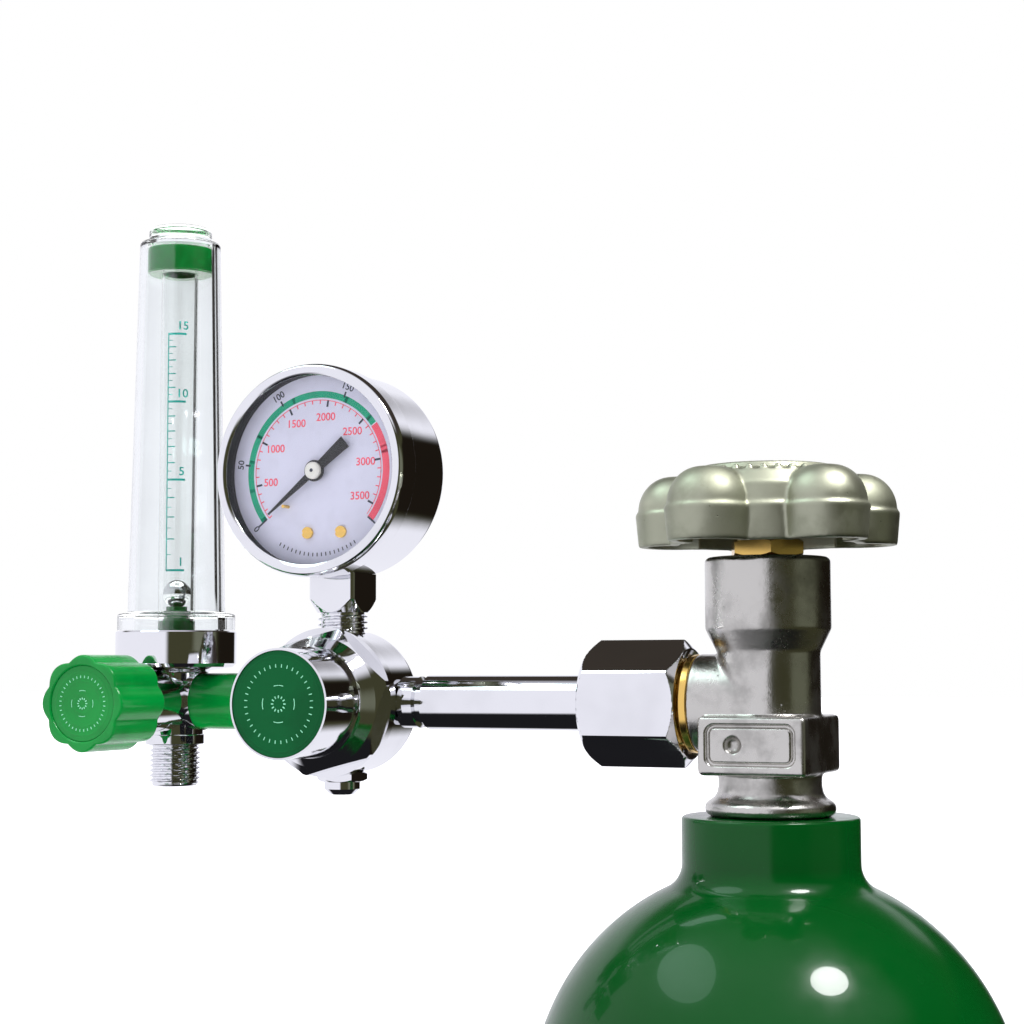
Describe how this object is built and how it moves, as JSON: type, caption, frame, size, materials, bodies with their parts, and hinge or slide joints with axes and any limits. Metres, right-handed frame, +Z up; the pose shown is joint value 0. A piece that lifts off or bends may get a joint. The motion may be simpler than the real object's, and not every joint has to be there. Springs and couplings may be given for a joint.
{
  "type": "oxygen cylinder",
  "caption": "Green steel oxygen cylinder with a handwheel valve, a chrome regulator with a round contents gauge, and a flowmeter with a clear tapered cover and a green knob.",
  "frame": {"origin": "centre of the cylinder's base, on the floor it stands on", "axes": "+Z up along the cylinder's axis; the valve's outlet, the regulator and the flowmeter stand off towards -X; the gauge, the bonnet and the flow knob face -Y"},
  "size_m": [0.2525, 0.12, 0.634],
  "materials": {
    "green_paint": "glossy paint",
    "nickel": "satin nickel plate over a forging",
    "bare_brass": "machined brass",
    "wheel_metal": "satin cast",
    "chrome": "polished chrome plate",
    "steel": "machined steel",
    "spring_steel": "drawn wire",
    "white_nylon": "moulded",
    "black_rubber": "moulded",
    "bronze_filter": "sintered",
    "green_label": "satin print",
    "green_plastic": "glossy moulded",
    "clear_cover": "clear polycarbonate",
    "clear_tube": "clear acrylic",
    "window": "clear",
    "dial_print": "printed enamel",
    "black_paint": "satin",
    "ball_steel": "polished"
  },
  "bodies": {
    "cylinder": {"cylinder_shell": "green_paint", "valve_body": "nickel", "valve_outlet": "bare_brass", "gland_nut": "bare_brass", "packing": "white_nylon", "inlet_nipple": "chrome", "inlet_filter": "bronze_filter", "regulator_body": "chrome", "bonnet": "chrome", "label_cap": "green_label", "adjusting_screw": "bare_brass", "spring_button": "steel", "main_spring": "spring_steel", "diaphragm": "black_rubber", "nozzle": "bare_brass", "poppet_spring": "spring_steel", "relief_valve_body": "chrome", "relief_spring": "spring_steel", "gauge_socket": "chrome", "gauge_case": "chrome", "gauge_bezel": "chrome", "gauge_lens": "window", "gauge_dial": "dial_print", "dial_screws": "bare_brass", "stop_pin": "bare_brass", "movement_frame": "bare_brass", "bourdon_tube": "bare_brass", "connector_sleeve": "green_plastic", "connector_tube": "chrome", "flowmeter_body": "chrome", "flowmeter_cover": "clear_cover", "cover_seal": "black_rubber", "metering_tube": "clear_tube", "ball_seat": "green_plastic", "top_ring": "green_plastic", "outlet_nipple": "chrome", "knob_gland": "chrome"},
    "handwheel": {"handwheel": "wheel_metal", "handwheel_nut": "steel", "valve_spindle": "steel"},
    "lower_plug": {"lower_plug": "bare_brass", "plug_seat": "white_nylon"},
    "thrust_washer": {"thrust_washer": "steel"},
    "union_nut": {"union_nut": "chrome"},
    "flow_knob": {"flow_knob": "green_plastic", "knob_insert": "green_label", "knob_spindle": "steel"},
    "needle": {"needle": "bare_brass"},
    "float_ball": {"float_ball": "ball_steel"},
    "gauge_pointer": {"gauge_pointer": "black_paint", "pointer_hub": "white_nylon", "pinion_shaft": "bare_brass"},
    "sector_gear": {"sector_gear": "bare_brass"},
    "diaphragm_plate": {"diaphragm_plate": "bare_brass"},
    "poppet": {"poppet": "bare_brass"},
    "relief_plunger": {"relief_plunger": "bare_brass"}
  },
  "joints": [
    {"name": "handwheel_turn", "type": "hinge", "parent": "cylinder", "child": "handwheel", "pos_m": [0, 0, 0.4975], "axis": [0, 0, 1], "range_deg": [0, 900]},
    {"name": "plug_lift", "type": "slide", "parent": "handwheel", "child": "lower_plug", "axis": [0, 0, 1], "range_m": [0, 0.0032]},
    {"name": "nut_turn", "type": "hinge", "parent": "cylinder", "child": "thrust_washer", "pos_m": [0, 0, 0.4975], "axis": [-1, 0, 0], "range_deg": [0, 2340]},
    {"name": "nut_travel", "type": "slide", "parent": "thrust_washer", "child": "union_nut", "axis": [-1, 0, 0], "range_m": [0, 0.012]},
    {"name": "knob_turn", "type": "hinge", "parent": "cylinder", "child": "flow_knob", "pos_m": [-0.1754, 0, 0.4975], "axis": [0, -1, 0], "range_deg": [0, 1080]},
    {"name": "needle_travel", "type": "slide", "parent": "flow_knob", "child": "needle", "axis": [0, -1, 0], "range_m": [0, 0.00301]},
    {"name": "ball_rise", "type": "slide", "parent": "cylinder", "child": "float_ball", "axis": [0, 0, 1], "range_m": [0, 0.085]},
    {"name": "pointer_turn", "type": "hinge", "parent": "cylinder", "child": "gauge_pointer", "pos_m": [-0.121, 0, 0.55965], "axis": [0, 1, 0], "range_deg": [0, 256.8], "stiffness_Nm_per_rad": 0.0005, "springref_deg": -22.92},
    {"name": "sector_swing", "type": "hinge", "parent": "cylinder", "child": "sector_gear", "pos_m": [-0.121, 0, 0.54865], "axis": [0, 1, 0], "range_deg": [-57.2, 0]},
    {"name": "diaphragm_push", "type": "slide", "parent": "cylinder", "child": "diaphragm_plate", "axis": [0, -1, 0], "range_m": [0, 0.0006], "stiffness_N_per_m": 2000, "springref_m": -0.0005, "deforming": ["main_spring", "diaphragm"]},
    {"name": "poppet_close", "type": "slide", "parent": "cylinder", "child": "poppet", "axis": [0, -1, 0], "range_m": [0, 0.0006], "deforming": ["poppet_spring"]},
    {"name": "relief_lift", "type": "slide", "parent": "cylinder", "child": "relief_plunger", "axis": [0, 0, -1], "range_m": [0, 0.001], "stiffness_N_per_m": 1500, "springref_m": -0.002, "deforming": ["relief_spring"]}
  ],
  "couplings": [
    {"joint": "plug_lift", "follows": "handwheel_turn", "m_per_rad": 0.00020213},
    {"joint": "nut_travel", "follows": "nut_turn", "m_per_rad": 0.00028871},
    {"joint": "needle_travel", "follows": "knob_turn", "m_per_rad": 0.00015915},
    {"joint": "sector_swing", "follows": "pointer_turn", "ratio": -0.22222},
    {"joint": "poppet_close", "follows": "diaphragm_push", "ratio": 1}
  ]
}
